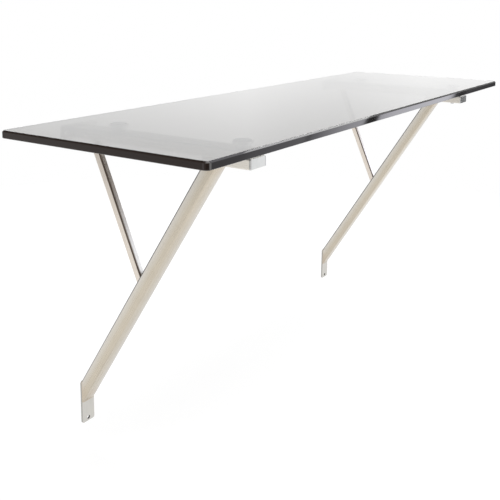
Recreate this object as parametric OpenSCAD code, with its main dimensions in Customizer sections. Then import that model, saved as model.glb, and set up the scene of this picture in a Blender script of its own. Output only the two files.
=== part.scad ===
// Wall-mounted desk: a smoked glass top on two Y-shaped tube brackets.
// Millimetres. The wall is the plane y = 0, the user stands on the -Y side, +Z is up.
// The origin is on the wall, midway between the brackets, at the height of the upper fixing holes.

/* [Glass top] */
// Length of the glass along the wall
top_length = 1500; // [1200:10:1800]
// Depth of the glass, from the wall to its front edge
top_depth = 480; // [420:5:560]
// Thickness of the glass
top_thickness = 15; // [10:1:19]
// Radius of the four corners in plan
top_corner_r = 10; // [5:1:40]
// Width of the polished arris along the upper edges
top_arris = 3; // [0.5:0.1:4]
// Width of the finer arris along the lower edges
bottom_arris = 1; // [0.5:0.1:4]

/* [Arms] */
// Distance from each end of the glass to the centreline of its bracket
bracket_inset = 198; // [120:1:300]
// Width of the horizontal arm tube
arm_width = 50; // [40:1:60]
// Height of the horizontal arm tube
arm_height = 20; // [16:1:30]
// Wall of the arm tube
arm_wall = 2; // [1.5:0.1:3]
// Outside corner radius of the arm tube
arm_corner_r = 2.5; // [2:0.1:3]
// Distance from the front edge of the glass back to the front face of the arm
arm_setback = 36; // [15:1:60]
// Thickness of the cap plate that closes the front end of the arm
cap_thickness = 3; // [2:0.5:5]
// Length of the cap's plug inside the arm tube
cap_plug_length = 8; // [5:1:12]

/* [Main struts] */
// Width of the main strut tube, along the wall
strut_width = 35; // [28:1:40]
// Depth of the main strut tube, square to its length
strut_depth = 28; // [20:1:32]
// Wall of the main strut tube
strut_wall = 2; // [1.5:0.1:3]
// Outside corner radius of the main strut tube
strut_corner_r = 3.2; // [3.2:0.1:6]
// Distance from the arm's front face back to the strut's rear face, under the arm
strut_top_inset = 108; // [95:1:140]
// Height from the foot plate's top up to the underside of the arm
strut_drop = 528; // [440:1:600]

/* [Upper struts] */
// Side of the square tube of the upper strut
prop_width = 15; // [12:1:20]
// Wall of the upper strut tube
prop_wall = 1.5; // [1:0.1:2]
// Outside corner radius of the upper strut tube
prop_corner_r = 2.2; // [2.1:0.1:3]
// Distance from the wall to the upper strut's rear face, under the arm
prop_top_reach = 40; // [30:1:55]
// Height from the upper strut's foot, on the main strut, up to the underside of the arm
prop_drop = 277; // [220:1:330]

/* [Wall plates] */
// Thickness of the upper and lower wall plates
plate_thickness = 4; // [3:0.5:8]
// Diameter of the holes for the wall screws
wall_hole_d = 8; // [6:0.5:9]
// Width of the bevel round the front of each wall screw hole
wall_hole_bevel = 0.8; // [0.3:0.1:1]
// Part of the lower plate that stands out on each side of the main strut
foot_plate_lip = 0.5; // [0.2:0.1:4]
// Length of the lower plate, from the top of the strut's foot down
foot_plate_length = 102; // [85:1:130]
// Radius of the lower plate's bottom corners
foot_plate_corner_r = 5; // [3:0.5:12]
// Distance from the lower plate's bottom edge up to the centre of its hole
foot_hole_edge = 8; // [7:0.5:14]
// Part of the upper plate that stands out on each side of the arm
head_plate_wing = 25; // [20:1:35]
// Part of the upper plate that stands out above and below the arm
head_plate_rise = 6; // [2:0.5:9]
// Radius of the upper plate's corners
head_plate_corner_r = 5; // [2:0.5:8]

/* [Stand-offs] */
// Clear height between the arm and the glass
stand_off_height = 15; // [13:0.5:22]
// Distance from the wall to the centre of the rear stand-off
rear_pad_reach = 113; // [90:1:150]
// Distance from the arm's front face back to the centre of the front stand-off
front_pad_inset = 33; // [25:1:45]
// Diameter of the disc under the glass
disc_d = 38; // [32:1:44]
// Thickness of the disc
disc_thickness = 5; // [4.5:0.5:7]
// Width of the bevel round the disc's rims
disc_bevel = 0.6; // [0.2:0.1:1]
// Diameter of the clear bonding pad between disc and glass
bond_d = 34; // [26:1:36]
// Thickness of the clear bonding pad
bond_thickness = 1; // [0.5:0.1:1.5]
// Diameter of the post between arm and disc
post_d = 28; // [20:1:30]

/* [Stand-off screws] */
// Diameter of the screw shank
screw_d = 6; // [5:0.5:7]
// Diameter of the screw head
screw_head_d = 10.5; // [9:0.5:12]
// Height of the screw head
screw_head_height = 3.3; // [2.8:0.1:4]
// Size across the flats of the hexagon socket in the head
screw_socket_size = 4; // [3:0.5:5]
// Depth of the hexagon socket
screw_socket_depth = 2; // [1.5:0.1:2.3]
// Depth that the screw reaches into the disc's tapped hole
screw_grip = 3.6; // [3:0.1:3.8]
// Diameter of the washer
washer_d = 12.5; // [12:0.5:16]
// Thickness of the washer
washer_thickness = 1.6; // [1:0.1:2]
// Outside diameter of the sleeve that keeps the arm tube from being crushed
sleeve_d = 12; // [10:0.5:14]

/* [Fits] */
// Gap round the screw in its through holes, on each side
screw_clearance = 0.3; // [0.2:0.05:0.5]
// Gap round the screw in the tapped hole, on each side
thread_clearance = 0.05; // [0.02:0.01:0.1]
// Gap at the end of the screw in the tapped hole
thread_end_gap = 0.4; // [0.2:0.1:0.6]
// Gap round the cap's plug in the arm tube, on each side
plug_clearance = 0.2; // [0.1:0.05:0.4]

/* [Hidden] */

left = -1;
right = 1;
fine = 96;
round_fn = 64;
// How far a cutting solid runs past the face that it cuts
over = 1;

// Places of the brackets, the arm and the glass
bracket_x = top_length / 2 - bracket_inset;
arm_top = arm_height / 2;
arm_bottom = -arm_height / 2;
arm_reach = top_depth - arm_setback;
tube_front = arm_reach - cap_thickness;
glass_bottom = arm_top + stand_off_height;
glass_top_z = glass_bottom + top_thickness;

// The main strut's rear face runs from the foot plate up to the arm's underside
foot_z = arm_bottom - strut_drop;
strut_top_reach = arm_reach - strut_top_inset;
strut_run = strut_top_reach - plate_thickness;
strut_angle = atan2(strut_drop, strut_run);
strut_length = norm([strut_drop, strut_run]);

// The upper strut's rear face runs down from the arm to the main strut's rear face
prop_foot_z = arm_bottom - prop_drop;
prop_foot_reach = strut_top_reach - prop_drop / tan(strut_angle);
prop_run = prop_foot_reach - prop_top_reach;
prop_angle = atan2(prop_drop, prop_run);
prop_length = norm([prop_drop, prop_run]);

// Wall plates
foot_plate_width = strut_width + 2 * foot_plate_lip;
foot_plate_bottom = foot_z - foot_plate_length;
foot_hole_z = foot_plate_bottom + foot_hole_edge;
head_plate_width = arm_width + 2 * head_plate_wing;
head_plate_height = arm_height + 2 * head_plate_rise;
head_hole_x = (arm_width + head_plate_wing) / 2;

// Stand-offs
front_pad_reach = arm_reach - front_pad_inset;
post_height = stand_off_height - disc_thickness - bond_thickness;
disc_bottom = arm_top + post_height;
disc_top = disc_bottom + disc_thickness;
screw_hole_r = screw_d / 2 + screw_clearance;
sleeve_length = arm_height - 2 * arm_wall;
thread_depth = screw_grip + thread_end_gap;
screw_length = washer_thickness + arm_height + post_height + screw_grip;
washer_bottom = arm_bottom - washer_thickness;
screw_chamfer = 0.6;
head_bevel = 1.2;
hexagon_sides = 6;

glass_colour = [0.26, 0.26, 0.27];
steel_colour = [0.80, 0.77, 0.72];
plate_colour = [0.81, 0.80, 0.77];
disc_colour = [0.72, 0.72, 0.73];
screw_colour = [0.62, 0.62, 0.64];
bond_colour = [0.88, 0.90, 0.91];

// A rectangle about the origin with round corners
module rounded_rectangle(width, height, r) {
    square([width - 2 * r, height], center = true);
    square([width, height - 2 * r], center = true);
    for (x = [-1, 1], y = [-1, 1])
        translate([x * (width / 2 - r), y * (height / 2 - r)])
            circle(r = r, $fn = round_fn);
}

// The outline of a rectangular tube with round corners inside and outside
module tube_outline(width, height, wall, r) {
    difference() {
        rounded_rectangle(width, height, r);
        rounded_rectangle(width - 2 * wall, height - 2 * wall, r - wall);
    }
}

// A plate flat on the wall, from y = 0 forward, drawn about its own centre
module wall_plate_blank(thickness) {
    rotate([90, 0, 0])
        linear_extrude(thickness)
            children();
}

// A hole square to the wall with a bevel at its front rim
module wall_hole() {
    rotate([90, 0, 0]) {
        translate([0, 0, -over])
            cylinder(d = wall_hole_d, h = plate_thickness + 2 * over, $fn = round_fn);
        translate([0, 0, plate_thickness - wall_hole_bevel])
            cylinder(
                r1 = wall_hole_d / 2,
                r2 = wall_hole_d / 2 + wall_hole_bevel + over,
                h = wall_hole_bevel + over,
                $fn = round_fn
            );
    }
}

// Moves what follows to a bracket's centreline
module at_bracket(side) {
    translate([side * bracket_x, 0, 0])
        children();
}

// Moves what follows to the centre of a stand-off, on the bracket's centreline
module at_pad(side, reach) {
    translate([side * bracket_x, -reach, 0])
        children();
}

// Takes an arris off the rim of the glass, from z = 0 down, on all four sides and corners
module arris_cutter(width) {
    section = [[0, 0], [-width, 0], [0, -width]];
    side_x = top_length - 2 * top_corner_r;
    side_y = top_depth - 2 * top_corner_r;
    for (turn = [0, 180]) {
        rotate([0, 0, turn])
            translate([top_length / 2, side_y / 2, 0])
                rotate([90, 0, 0])
                    linear_extrude(side_y)
                        polygon(section);
        rotate([0, 0, turn + 90])
            translate([top_depth / 2, side_x / 2, 0])
                rotate([90, 0, 0])
                    linear_extrude(side_x)
                        polygon(section);
    }
    for (x = [-1, 1], y = [-1, 1])
        translate([x * side_x / 2, y * side_y / 2, 0])
            difference() {
                translate([0, 0, -width])
                    cylinder(r = top_corner_r + over, h = width, $fn = fine);
                translate([0, 0, -width])
                    cylinder(
                        r1 = top_corner_r,
                        r2 = top_corner_r - width,
                        h = width,
                        $fn = fine
                    );
                translate([-x * (top_corner_r + over), 0, 0])
                    cube([2 * (top_corner_r + over), 4 * (top_corner_r + over), 3 * width], center = true);
                translate([0, -y * (top_corner_r + over), 0])
                    cube([4 * (top_corner_r + over), 2 * (top_corner_r + over), 3 * width], center = true);
            }
}

module glass_top() {
    color(glass_colour)
        translate([0, -top_depth / 2, glass_bottom])
            difference() {
                linear_extrude(top_thickness)
                    rounded_rectangle(top_length, top_depth, top_corner_r);
                translate([0, 0, top_thickness])
                    arris_cutter(top_arris);
                mirror([0, 0, 1])
                    arris_cutter(bottom_arris);
            }
}

// The arm's tube, from the upper wall plate to the end cap, drilled for the two stand-off screws
module arm_tube(side) {
    color(steel_colour)
        difference() {
            at_bracket(side)
                translate([0, -plate_thickness, 0])
                    rotate([90, 0, 0])
                        linear_extrude(tube_front - plate_thickness)
                            tube_outline(arm_width, arm_height, arm_wall, arm_corner_r);
            for (reach = [rear_pad_reach, front_pad_reach])
                at_pad(side, reach)
                    translate([0, 0, arm_bottom - over])
                        cylinder(r = screw_hole_r, h = arm_height + 2 * over, $fn = round_fn);
        }
}

// The cap plate with the plug that holds it in the tube
module arm_end_cap(side) {
    plug_width = arm_width - 2 * (arm_wall + plug_clearance);
    plug_height = arm_height - 2 * (arm_wall + plug_clearance);
    color(plate_colour)
        at_bracket(side) {
            translate([0, -tube_front, 0])
                rotate([90, 0, 0])
                    linear_extrude(cap_thickness)
                        rounded_rectangle(arm_width, arm_height, arm_corner_r);
            translate([0, cap_plug_length - tube_front, 0])
                rotate([90, 0, 0])
                    linear_extrude(cap_plug_length + cap_thickness / 2)
                        tube_outline(plug_width, plug_height, arm_wall, arm_wall + plug_clearance);
        }
}

// The upper plate, welded across the arm's rear end, with a screw hole in each wing
module upper_wall_plate(side) {
    color(plate_colour)
        at_bracket(side)
            difference() {
                wall_plate_blank(plate_thickness)
                    rounded_rectangle(head_plate_width, head_plate_height, head_plate_corner_r);
                for (x = [-head_hole_x, head_hole_x])
                    translate([x, 0, 0])
                        wall_hole();
            }
}

// A tube whose rear face starts at the given point and rises forward at the given angle
module raking_tube(reach, z, angle, start, length, width, depth, wall, r) {
    translate([0, -reach, z])
        rotate([90 - angle, 0, 0])
            translate([0, -depth / 2, start])
                linear_extrude(length)
                    tube_outline(width, depth, wall, r);
}

// The main strut: cut level under the arm and upright against the foot plate
module main_strut(side) {
    extra = 3 * strut_depth;
    color(steel_colour)
        at_bracket(side)
            difference() {
                raking_tube(
                    plate_thickness, foot_z, strut_angle, -extra, strut_length + 2 * extra,
                    strut_width, strut_depth, strut_wall, strut_corner_r
                );
                translate([-strut_width, -2 * arm_reach, arm_bottom])
                    cube([2 * strut_width, 3 * arm_reach, 2 * extra]);
                translate([-strut_width, -plate_thickness, foot_z - 2 * extra])
                    cube([2 * strut_width, 2 * extra, 4 * extra]);
            }
}

// The upper strut: cut level under the arm and along the main strut's rear face
module upper_strut(side) {
    extra = 3 * prop_width;
    color(steel_colour)
        at_bracket(side)
            difference() {
                translate([0, -prop_foot_reach, prop_foot_z])
                    rotate([prop_angle - 90, 0, 0])
                        translate([0, -prop_width / 2, -extra])
                            linear_extrude(prop_length + 2 * extra)
                                tube_outline(prop_width, prop_width, prop_wall, prop_corner_r);
                translate([-prop_width, -arm_reach, arm_bottom])
                    cube([2 * prop_width, 2 * arm_reach, 2 * extra]);
                translate([0, -plate_thickness, foot_z])
                    rotate([90 - strut_angle, 0, 0])
                        translate([-prop_width, -strut_depth - extra, 0])
                            cube([2 * prop_width, strut_depth + extra, strut_length]);
            }
}

// The lower plate's outline: square corners at the top and round ones at the bottom
module foot_plate_outline() {
    corner_x = foot_plate_width / 2 - foot_plate_corner_r;
    translate([-foot_plate_width / 2, foot_plate_bottom + foot_plate_corner_r])
        square([foot_plate_width, foot_plate_length - foot_plate_corner_r]);
    translate([-corner_x, foot_plate_bottom])
        square([2 * corner_x, foot_plate_length]);
    for (x = [-corner_x, corner_x])
        translate([x, foot_plate_bottom + foot_plate_corner_r])
            circle(r = foot_plate_corner_r, $fn = round_fn);
}

// The lower plate behind the main strut: its top ground flush with the foot, one screw hole near its bottom
module lower_wall_plate(side) {
    reach = 4 * plate_thickness;
    color(plate_colour)
        at_bracket(side)
            difference() {
                wall_plate_blank(plate_thickness)
                    foot_plate_outline();
                translate([0, 0, foot_hole_z])
                    wall_hole();
                translate([0, -plate_thickness, foot_z])
                    rotate([90 - strut_angle, 0, 0])
                        translate([-foot_plate_width, 0, -reach])
                            cube([2 * foot_plate_width, reach, 2 * reach]);
            }
}

// The post that stands on the arm
module pad_post(side, reach) {
    color(disc_colour)
        at_pad(side, reach)
            translate([0, 0, arm_top])
                difference() {
                    cylinder(d = post_d, h = post_height, $fn = fine);
                    translate([0, 0, -over])
                        cylinder(r = screw_hole_r, h = post_height + 2 * over, $fn = round_fn);
                }
}

// The disc that carries the glass, tapped from below
module pad_disc(side, reach) {
    r = disc_d / 2;
    color(disc_colour)
        at_pad(side, reach)
            translate([0, 0, disc_bottom])
                difference() {
                    rotate_extrude($fn = fine)
                        polygon([
                            [0, 0], [r - disc_bevel, 0], [r, disc_bevel],
                            [r, disc_thickness - disc_bevel], [r - disc_bevel, disc_thickness],
                            [0, disc_thickness]
                        ]);
                    translate([0, 0, -over])
                        cylinder(
                            r = screw_d / 2 + thread_clearance,
                            h = thread_depth + over,
                            $fn = round_fn
                        );
                }
}

// The clear pad that bonds the disc to the glass
module bond_pad(side, reach) {
    color(bond_colour)
        at_pad(side, reach)
            translate([0, 0, disc_top])
                cylinder(d = bond_d, h = bond_thickness, $fn = fine);
}

// The sleeve round the screw inside the arm tube
module crush_sleeve(side, reach) {
    color(screw_colour)
        at_pad(side, reach)
            translate([0, 0, -sleeve_length / 2])
                difference() {
                    cylinder(d = sleeve_d, h = sleeve_length, $fn = round_fn);
                    translate([0, 0, -over])
                        cylinder(r = screw_hole_r, h = sleeve_length + 2 * over, $fn = round_fn);
                }
}

// The washer under the arm
module screw_washer(side, reach) {
    color(screw_colour)
        at_pad(side, reach)
            translate([0, 0, washer_bottom])
                difference() {
                    cylinder(d = washer_d, h = washer_thickness, $fn = round_fn);
                    translate([0, 0, -over])
                        cylinder(r = screw_hole_r, h = washer_thickness + 2 * over, $fn = round_fn);
                }
}

// The socket screw that holds arm, post and disc together, head downwards
module pad_screw(side, reach) {
    shank_r = screw_d / 2;
    head_r = screw_head_d / 2;
    color(screw_colour)
        at_pad(side, reach)
            translate([0, 0, washer_bottom])
                difference() {
                    rotate_extrude($fn = round_fn)
                        polygon([
                            [0, -screw_head_height], [head_r - head_bevel, -screw_head_height],
                            [head_r, head_bevel - screw_head_height], [head_r, 0], [shank_r, 0],
                            [shank_r, screw_length - screw_chamfer],
                            [shank_r - screw_chamfer, screw_length], [0, screw_length]
                        ]);
                    translate([0, 0, -screw_head_height - over])
                        cylinder(
                            d = screw_socket_size / cos(180 / hexagon_sides),
                            h = screw_socket_depth + over,
                            $fn = hexagon_sides
                        );
                }
}

glass_top();
arm_tube(left);  // left_arm_tube
arm_end_cap(left);  // left_arm_end_cap
upper_wall_plate(left);  // left_upper_wall_plate
main_strut(left);  // left_main_strut
upper_strut(left);  // left_upper_strut
lower_wall_plate(left);  // left_lower_wall_plate
arm_tube(right);  // right_arm_tube
arm_end_cap(right);  // right_arm_end_cap
upper_wall_plate(right);  // right_upper_wall_plate
main_strut(right);  // right_main_strut
upper_strut(right);  // right_upper_strut
lower_wall_plate(right);  // right_lower_wall_plate
pad_post(left, front_pad_reach);  // left_front_post
pad_disc(left, front_pad_reach);  // left_front_disc
bond_pad(left, front_pad_reach);  // left_front_bond_pad
crush_sleeve(left, front_pad_reach);  // left_front_sleeve
screw_washer(left, front_pad_reach);  // left_front_washer
pad_screw(left, front_pad_reach);  // left_front_screw
pad_post(left, rear_pad_reach);  // left_rear_post
pad_disc(left, rear_pad_reach);  // left_rear_disc
bond_pad(left, rear_pad_reach);  // left_rear_bond_pad
crush_sleeve(left, rear_pad_reach);  // left_rear_sleeve
screw_washer(left, rear_pad_reach);  // left_rear_washer
pad_screw(left, rear_pad_reach);  // left_rear_screw
pad_post(right, front_pad_reach);  // right_front_post
pad_disc(right, front_pad_reach);  // right_front_disc
bond_pad(right, front_pad_reach);  // right_front_bond_pad
crush_sleeve(right, front_pad_reach);  // right_front_sleeve
screw_washer(right, front_pad_reach);  // right_front_washer
pad_screw(right, front_pad_reach);  // right_front_screw
pad_post(right, rear_pad_reach);  // right_rear_post
pad_disc(right, rear_pad_reach);  // right_rear_disc
bond_pad(right, rear_pad_reach);  // right_rear_bond_pad
crush_sleeve(right, rear_pad_reach);  // right_rear_sleeve
screw_washer(right, rear_pad_reach);  // right_rear_washer
pad_screw(right, rear_pad_reach);  // right_rear_screw
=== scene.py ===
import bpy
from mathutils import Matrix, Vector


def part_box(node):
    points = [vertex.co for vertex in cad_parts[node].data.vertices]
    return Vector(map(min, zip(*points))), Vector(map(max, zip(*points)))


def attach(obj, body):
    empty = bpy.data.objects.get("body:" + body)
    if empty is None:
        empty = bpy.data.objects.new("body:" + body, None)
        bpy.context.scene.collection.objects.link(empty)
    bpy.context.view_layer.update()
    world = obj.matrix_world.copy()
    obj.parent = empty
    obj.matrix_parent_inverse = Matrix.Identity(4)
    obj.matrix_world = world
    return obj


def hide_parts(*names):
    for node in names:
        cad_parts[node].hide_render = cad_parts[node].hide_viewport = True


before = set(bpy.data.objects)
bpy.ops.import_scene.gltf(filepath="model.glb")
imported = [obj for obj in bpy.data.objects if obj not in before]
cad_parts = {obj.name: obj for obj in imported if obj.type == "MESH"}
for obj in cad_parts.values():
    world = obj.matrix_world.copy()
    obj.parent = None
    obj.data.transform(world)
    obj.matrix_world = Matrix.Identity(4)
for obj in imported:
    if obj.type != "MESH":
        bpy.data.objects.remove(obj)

"""Wall-mounted desk: a smoked glass top on disc stand-offs and two Y-shaped brushed steel brackets.

Metres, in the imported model's frame: the wall is the plane y = 0, the user stands on the -Y side, +Z is up.
"""
import logging
import math
from dataclasses import dataclass, replace
from enum import Enum
from typing import Any, Callable

import bmesh
import bpy
from bpy.types import Material, Object
from mathutils import Matrix, Vector

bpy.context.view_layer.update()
MM = 0.001
Y, Z = 1, 2
EAST = Vector((1.0, 0.0, 0.0))
BACK = Vector((0.0, 1.0, 0.0))
UP = Vector((0.0, 0.0, 1.0))
Place = tuple[float, float, float]
Colour = tuple[float, float, float]
# Pairs of numbers, such as the places and levels of a ramp.
Pairs = tuple[tuple[float, float], ...]
WHITE: Colour = (1.0, 1.0, 1.0)
# Cosine above which two directions count as one.
ALIGNED = 0.99
# A noise texture's average.
NOISE_MEAN = 0.5
log = logging.getLogger("desk")


class Side(Enum):
    """Which bracket a piece belongs to."""

    LEFT = "left"
    RIGHT = "right"


class End(Enum):
    """Which end of an arm a stand-off is on."""

    FRONT = "front"
    REAR = "rear"


class Measure(Enum):
    """What a zone of steel is measured along, as shares of the ways to the right and to the rear.

    CORNER leads away from the corner between the left side and the front. The last measure does too, but
    three times as fast along the left side; it places a painted shade line along an edge.
    """

    SIDE = (1, 0)
    DEPTH = (0, 1)
    CORNER = (1, 1)
    SEAM = (1, 3)


def _operator(operation: str, swapped: bool = False) -> Callable[["Value", Any], "Value"]:
    """An arithmetic method that adds a Math node, with the other operand first if swapped."""
    return lambda value, other: value.graph.math(operation, *((other, value) if swapped else (value, other)))


@dataclass(frozen=True)
class Value:
    """An output socket that adds nodes to its graph when it is used in an expression."""

    graph: "Graph"
    socket: bpy.types.NodeSocket

    __add__ = __radd__ = _operator("ADD")
    __sub__ = _operator("SUBTRACT")
    __rsub__ = _operator("SUBTRACT", swapped=True)
    __mul__ = __rmul__ = _operator("MULTIPLY")
    __truediv__ = _operator("DIVIDE")


class Graph:
    """The node tree of one material or world."""

    # Outputs of a Texture Coordinate node, and sockets of a Mix node for colours.
    DIRECTION, OBJECT = 0, 3
    MIX_FIRST, MIX_SECOND, MIX_RESULT = 6, 7, 2

    def __init__(self, tree: bpy.types.NodeTree) -> None:
        """Empties a node tree to build in it."""
        self.tree = tree
        tree.nodes.clear()

    def node(self, kind: str, inputs: dict[Any, Any] | None = None, **settings: Any) -> list[Value]:
        """Adds a node, sets it up and feeds its sockets.

        Args:
            kind: The node's type, without the ShaderNode that it starts with.
            inputs: Values or links by socket name or number.
            **settings: Properties that are set first. A ramp's stops are pairs of place and level.

        Returns:
            The node's outputs.
        """
        made = self.tree.nodes.new(f"ShaderNode{kind}")
        for name, value in settings.items():
            if name == "stops":
                self._set_stops(made.color_ramp, value)
            elif name == "easing":
                made.color_ramp.interpolation = value
            else:
                setattr(made, name, value)
        for key, value in (inputs or {}).items():
            socket = made.inputs[key]
            if isinstance(value, Value):
                self.tree.links.new(value.socket, socket)
            else:
                socket.default_value = (*value, 1.0) if socket.type == "RGBA" else value
        return [Value(self, out) for out in made.outputs]

    @staticmethod
    def _set_stops(ramp: bpy.types.ColorRamp, stops: Pairs) -> None:
        """Gives a ramp its stops.

        Args:
            ramp: The ramp, with two stops of its own.
            stops: Pairs of place and grey level.
        """
        while len(ramp.elements) < len(stops):
            ramp.elements.new(1.0)
        for element, (place, level) in zip(ramp.elements, stops):
            element.position = place
            element.color = (level, level, level, 1.0)

    def math(self, operation: str, *values: Any) -> Value:
        """Adds a Math node on numbers or sockets and returns its output."""
        return self.node("Math", dict(enumerate(values)), operation=operation)[0]

    def measure(self, operation: str, *vectors: Any) -> Value:
        """Adds a Vector Math node and returns its number, such as a DISTANCE."""
        return self.node("VectorMath", dict(enumerate(vectors)), operation=operation)[1]

    def split(self, vector: Value) -> list[Value]:
        """The three parts of a vector."""
        return self.node("SeparateXYZ", {0: vector})

    def coords(self, turn_x: float = 0.0, stretch: Place = (1.0, 1.0, 1.0)) -> Value:
        """Object coordinates, turned about X and then stretched.

        Args:
            turn_x: Angle in radians that brings the grain's direction upright.
            stretch: Factor on each axis after the turn.

        Returns:
            The coordinates.
        """
        plain = self.node("TexCoord")[self.OBJECT]
        turned = self.node("Mapping", {"Vector": plain, "Rotation": (turn_x, 0.0, 0.0)})[0]
        return self.node("VectorMath", {0: turned, 1: stretch}, operation="MULTIPLY")[0]

    def noise(self, scale: float = 1.0, detail: float = 2.0, roughness: float = 0.5, **place: Any) -> Value:
        """A noise texture's grey value. Detail counts its finer layers, and place goes to coords."""
        inputs = {"Vector": self.coords(**place), "Scale": scale, "Detail": detail, "Roughness": roughness}
        return self.node("TexNoise", inputs)[0]

    def tones(self, factor: Value, tint: Colour, levels: tuple[float, float]) -> Value:
        """A tint between two levels of lightness, the second at a factor of 1."""
        return self.mix(factor, *(shaded(tint, level) for level in levels))

    def ramp(self, value: Value, stops: Pairs, easing: str = "LINEAR") -> Value:
        """A value led through a grey ramp."""
        return self.node("ValToRGB", {"Fac": value}, stops=stops, easing=easing)[0]

    def mix(self, factor: Value, first: Value | Colour, second: Value | Colour) -> Value:
        """The colour between two others, the second at a factor of 1."""
        inputs = {0: factor, self.MIX_FIRST: first, self.MIX_SECOND: second}
        return self.node("Mix", inputs, data_type="RGBA")[self.MIX_RESULT]

    def bump(self, height: Value, strength: float, distance: float) -> Value:
        """A normal bumped by a height, of which 1 stands for a distance in metres."""
        return self.node("Bump", {"Height": height, "Strength": strength, "Distance": distance})[0]

    def principled(self, inputs: dict[str, Any]) -> Value:
        """Adds a Principled shader with the values or links of its sockets."""
        return self.node("BsdfPrincipled", inputs)[0]

    def blend(self, share: Value, first: Value, second: Value) -> Value:
        """Adds a Mix Shader, all second at a share of 1."""
        return self.node("MixShader", {0: share, 1: first, 2: second})[0]

    def end(self, surface: Value, **others: Value) -> None:
        """Ends a material's graph in its surface, and its volume if it has one."""
        self.node("OutputMaterial", {"Surface": surface, **others})


def new_material(name: str) -> tuple[Material, Graph]:
    """Starts a material.

    Args:
        name: The material's name.

    Returns:
        The material and its empty graph.
    """
    material = bpy.data.materials.new(name)
    material.use_nodes = True
    return material, Graph(material.node_tree)


def shaded(colour: Colour, factor: float) -> Colour:
    """A colour made lighter or darker, at most white."""
    return tuple(min(1.0, factor * part) for part in colour)


@dataclass(frozen=True)
class Section:
    """Where a piece that both brackets have lies across its grain.

    A zone's place is 0 at the section's left or front and 1 at its other side.
    """

    middle: float
    width: float
    front: float
    depth: float


@dataclass(frozen=True)
class Zone:
    """A part of a section where the steel is painted another colour, a painted highlight, reflection or
    shade, and how that comes in further down.
    """

    measure: Measure
    stops: Pairs
    colour: Colour
    uneven: float = 0.0
    fall: Pairs = ()


@dataclass(frozen=True)
class BrushedSteel:
    """Satin stainless steel, brushed along one direction, with a straw cast beside its welds."""

    name: str
    tint: Colour
    turn_x: float = 0.0
    roughness: float = 0.28
    fine_waves: float = 2600.0
    fine_harshness: float = 0.6
    broad_waves: float = 300.0
    broad_stretch: float = 3.0
    mottle_waves: float = 24.0
    grain_length: float = 30 * MM
    grain_depth: float = 0.02 * MM
    grain_strength: float = 0.45
    # Shares of the broad grain, the mottling and the fine grain.
    worn_mix: tuple[float, float, float] = (0.45, 0.35, 0.2)
    worn_stops: Pairs = ((0.3, 0.0), (0.7, 1.0))
    worn_tones: tuple[float, float] = (0.95, 1.04)
    # Shares of an even sheen, the fine grain and the broad grain.
    sheen_mix: tuple[float, float, float] = (0.8, 0.22, 0.18)
    # Shares of the fine grain and the broad grain.
    relief_mix: tuple[float, float] = (0.6, 0.4)
    straw: Colour = (0.5, 0.405, 0.31)
    straw_stops: Pairs = ((0.3, 0.4), (1.0, 0.0))
    straw_uneven: float = 0.5
    straw_reach: float = 34 * MM
    welds: tuple[Place, ...] = ()
    section: Section | None = None
    zones: tuple[Zone, ...] = ()
    fall_reach: float = 300 * MM
    # Bores whose walls get painted shade.
    shaded_bores: tuple[Place, ...] = ()
    bore_radius: float = MM
    bore_shade_tint: Colour = (0.05, 0.045, 0.04)
    bore_shade_stops: Pairs = ((0.505, 1.0), (0.53, 0.0))

    def make(self) -> Material:
        """Builds the material.

        Returns:
            The steel: brushed grain, soft mottling, an uneven sheen, its zones of painted light and shade,
                welds' casts and painted shade inside its bores.
        """
        material, graph = new_material(self.name)
        cloud = graph.noise(self.mottle_waves)
        fine = self._grain(graph, self.fine_waves, self.grain_length, self.fine_harshness)
        broad = self._grain(graph, self.broad_waves, self.broad_stretch * self.grain_length)
        lines, clouds, hairs = self.worn_mix
        worn = graph.ramp(lines * broad + clouds * cloud + hairs * fine, self.worn_stops)
        colour = graph.tones(worn, self.tint, self.worn_tones)
        if self.section:
            x, y, _ = graph.split(graph.coords(self.turn_x))
            side = (x - graph.math("SIGN", x) * self.section.middle) / self.section.width + 0.5
            depth = (y - self.section.front) / self.section.depth
        # Zones of painted reflection and painted shade across the section.
        for zone in self.zones:
            side_share, depth_share = zone.measure.value
            place = side_share * side + depth_share * depth + zone.uneven * (broad + cloud - 2 * NOISE_MEAN)
            share = graph.ramp(place, zone.stops)
            if zone.fall:
                drop = -1 * graph.split(graph.coords())[Z] / self.fall_reach
                share = share * graph.ramp(drop, zone.fall)
            colour = graph.mix(share, colour, zone.colour)
        for weld in self.welds:
            near = graph.measure("DISTANCE", graph.coords(), weld) / self.straw_reach
            cast = graph.ramp(near + self.straw_uneven * (cloud - NOISE_MEAN), self.straw_stops, "EASE")
            colour = graph.mix(cast, colour, self.straw)
        # Painted shade on the walls of the bores.
        for x, _, z in self.shaded_bores:
            flat = graph.coords(stretch=(1.0, 0.0, 1.0))
            near = graph.measure("DISTANCE", flat, (x, 0.0, z)) / (2 * self.bore_radius)
            colour = graph.mix(graph.ramp(near, self.bore_shade_stops), colour, self.bore_shade_tint)
        even, hairs, lines = self.sheen_mix
        sheen = even + hairs * fine + lines * broad
        hairs, lines = self.relief_mix
        inputs = {
            "Base Color": colour,
            "Metallic": 1.0,
            "Roughness": self.roughness * sheen,
            "Normal": graph.bump(hairs * fine + lines * broad, self.grain_strength, self.grain_depth),
        }
        graph.end(graph.principled(inputs))
        return material

    def _grain(self, graph: Graph, waves: float, length: float, harshness: float = 0.5) -> Value:
        """Long streaks along the brushing, by their number in a metre across and their length in metres."""
        return graph.noise(roughness=harshness, turn_x=self.turn_x, stretch=(waves, waves, 1.0 / length))


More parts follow.
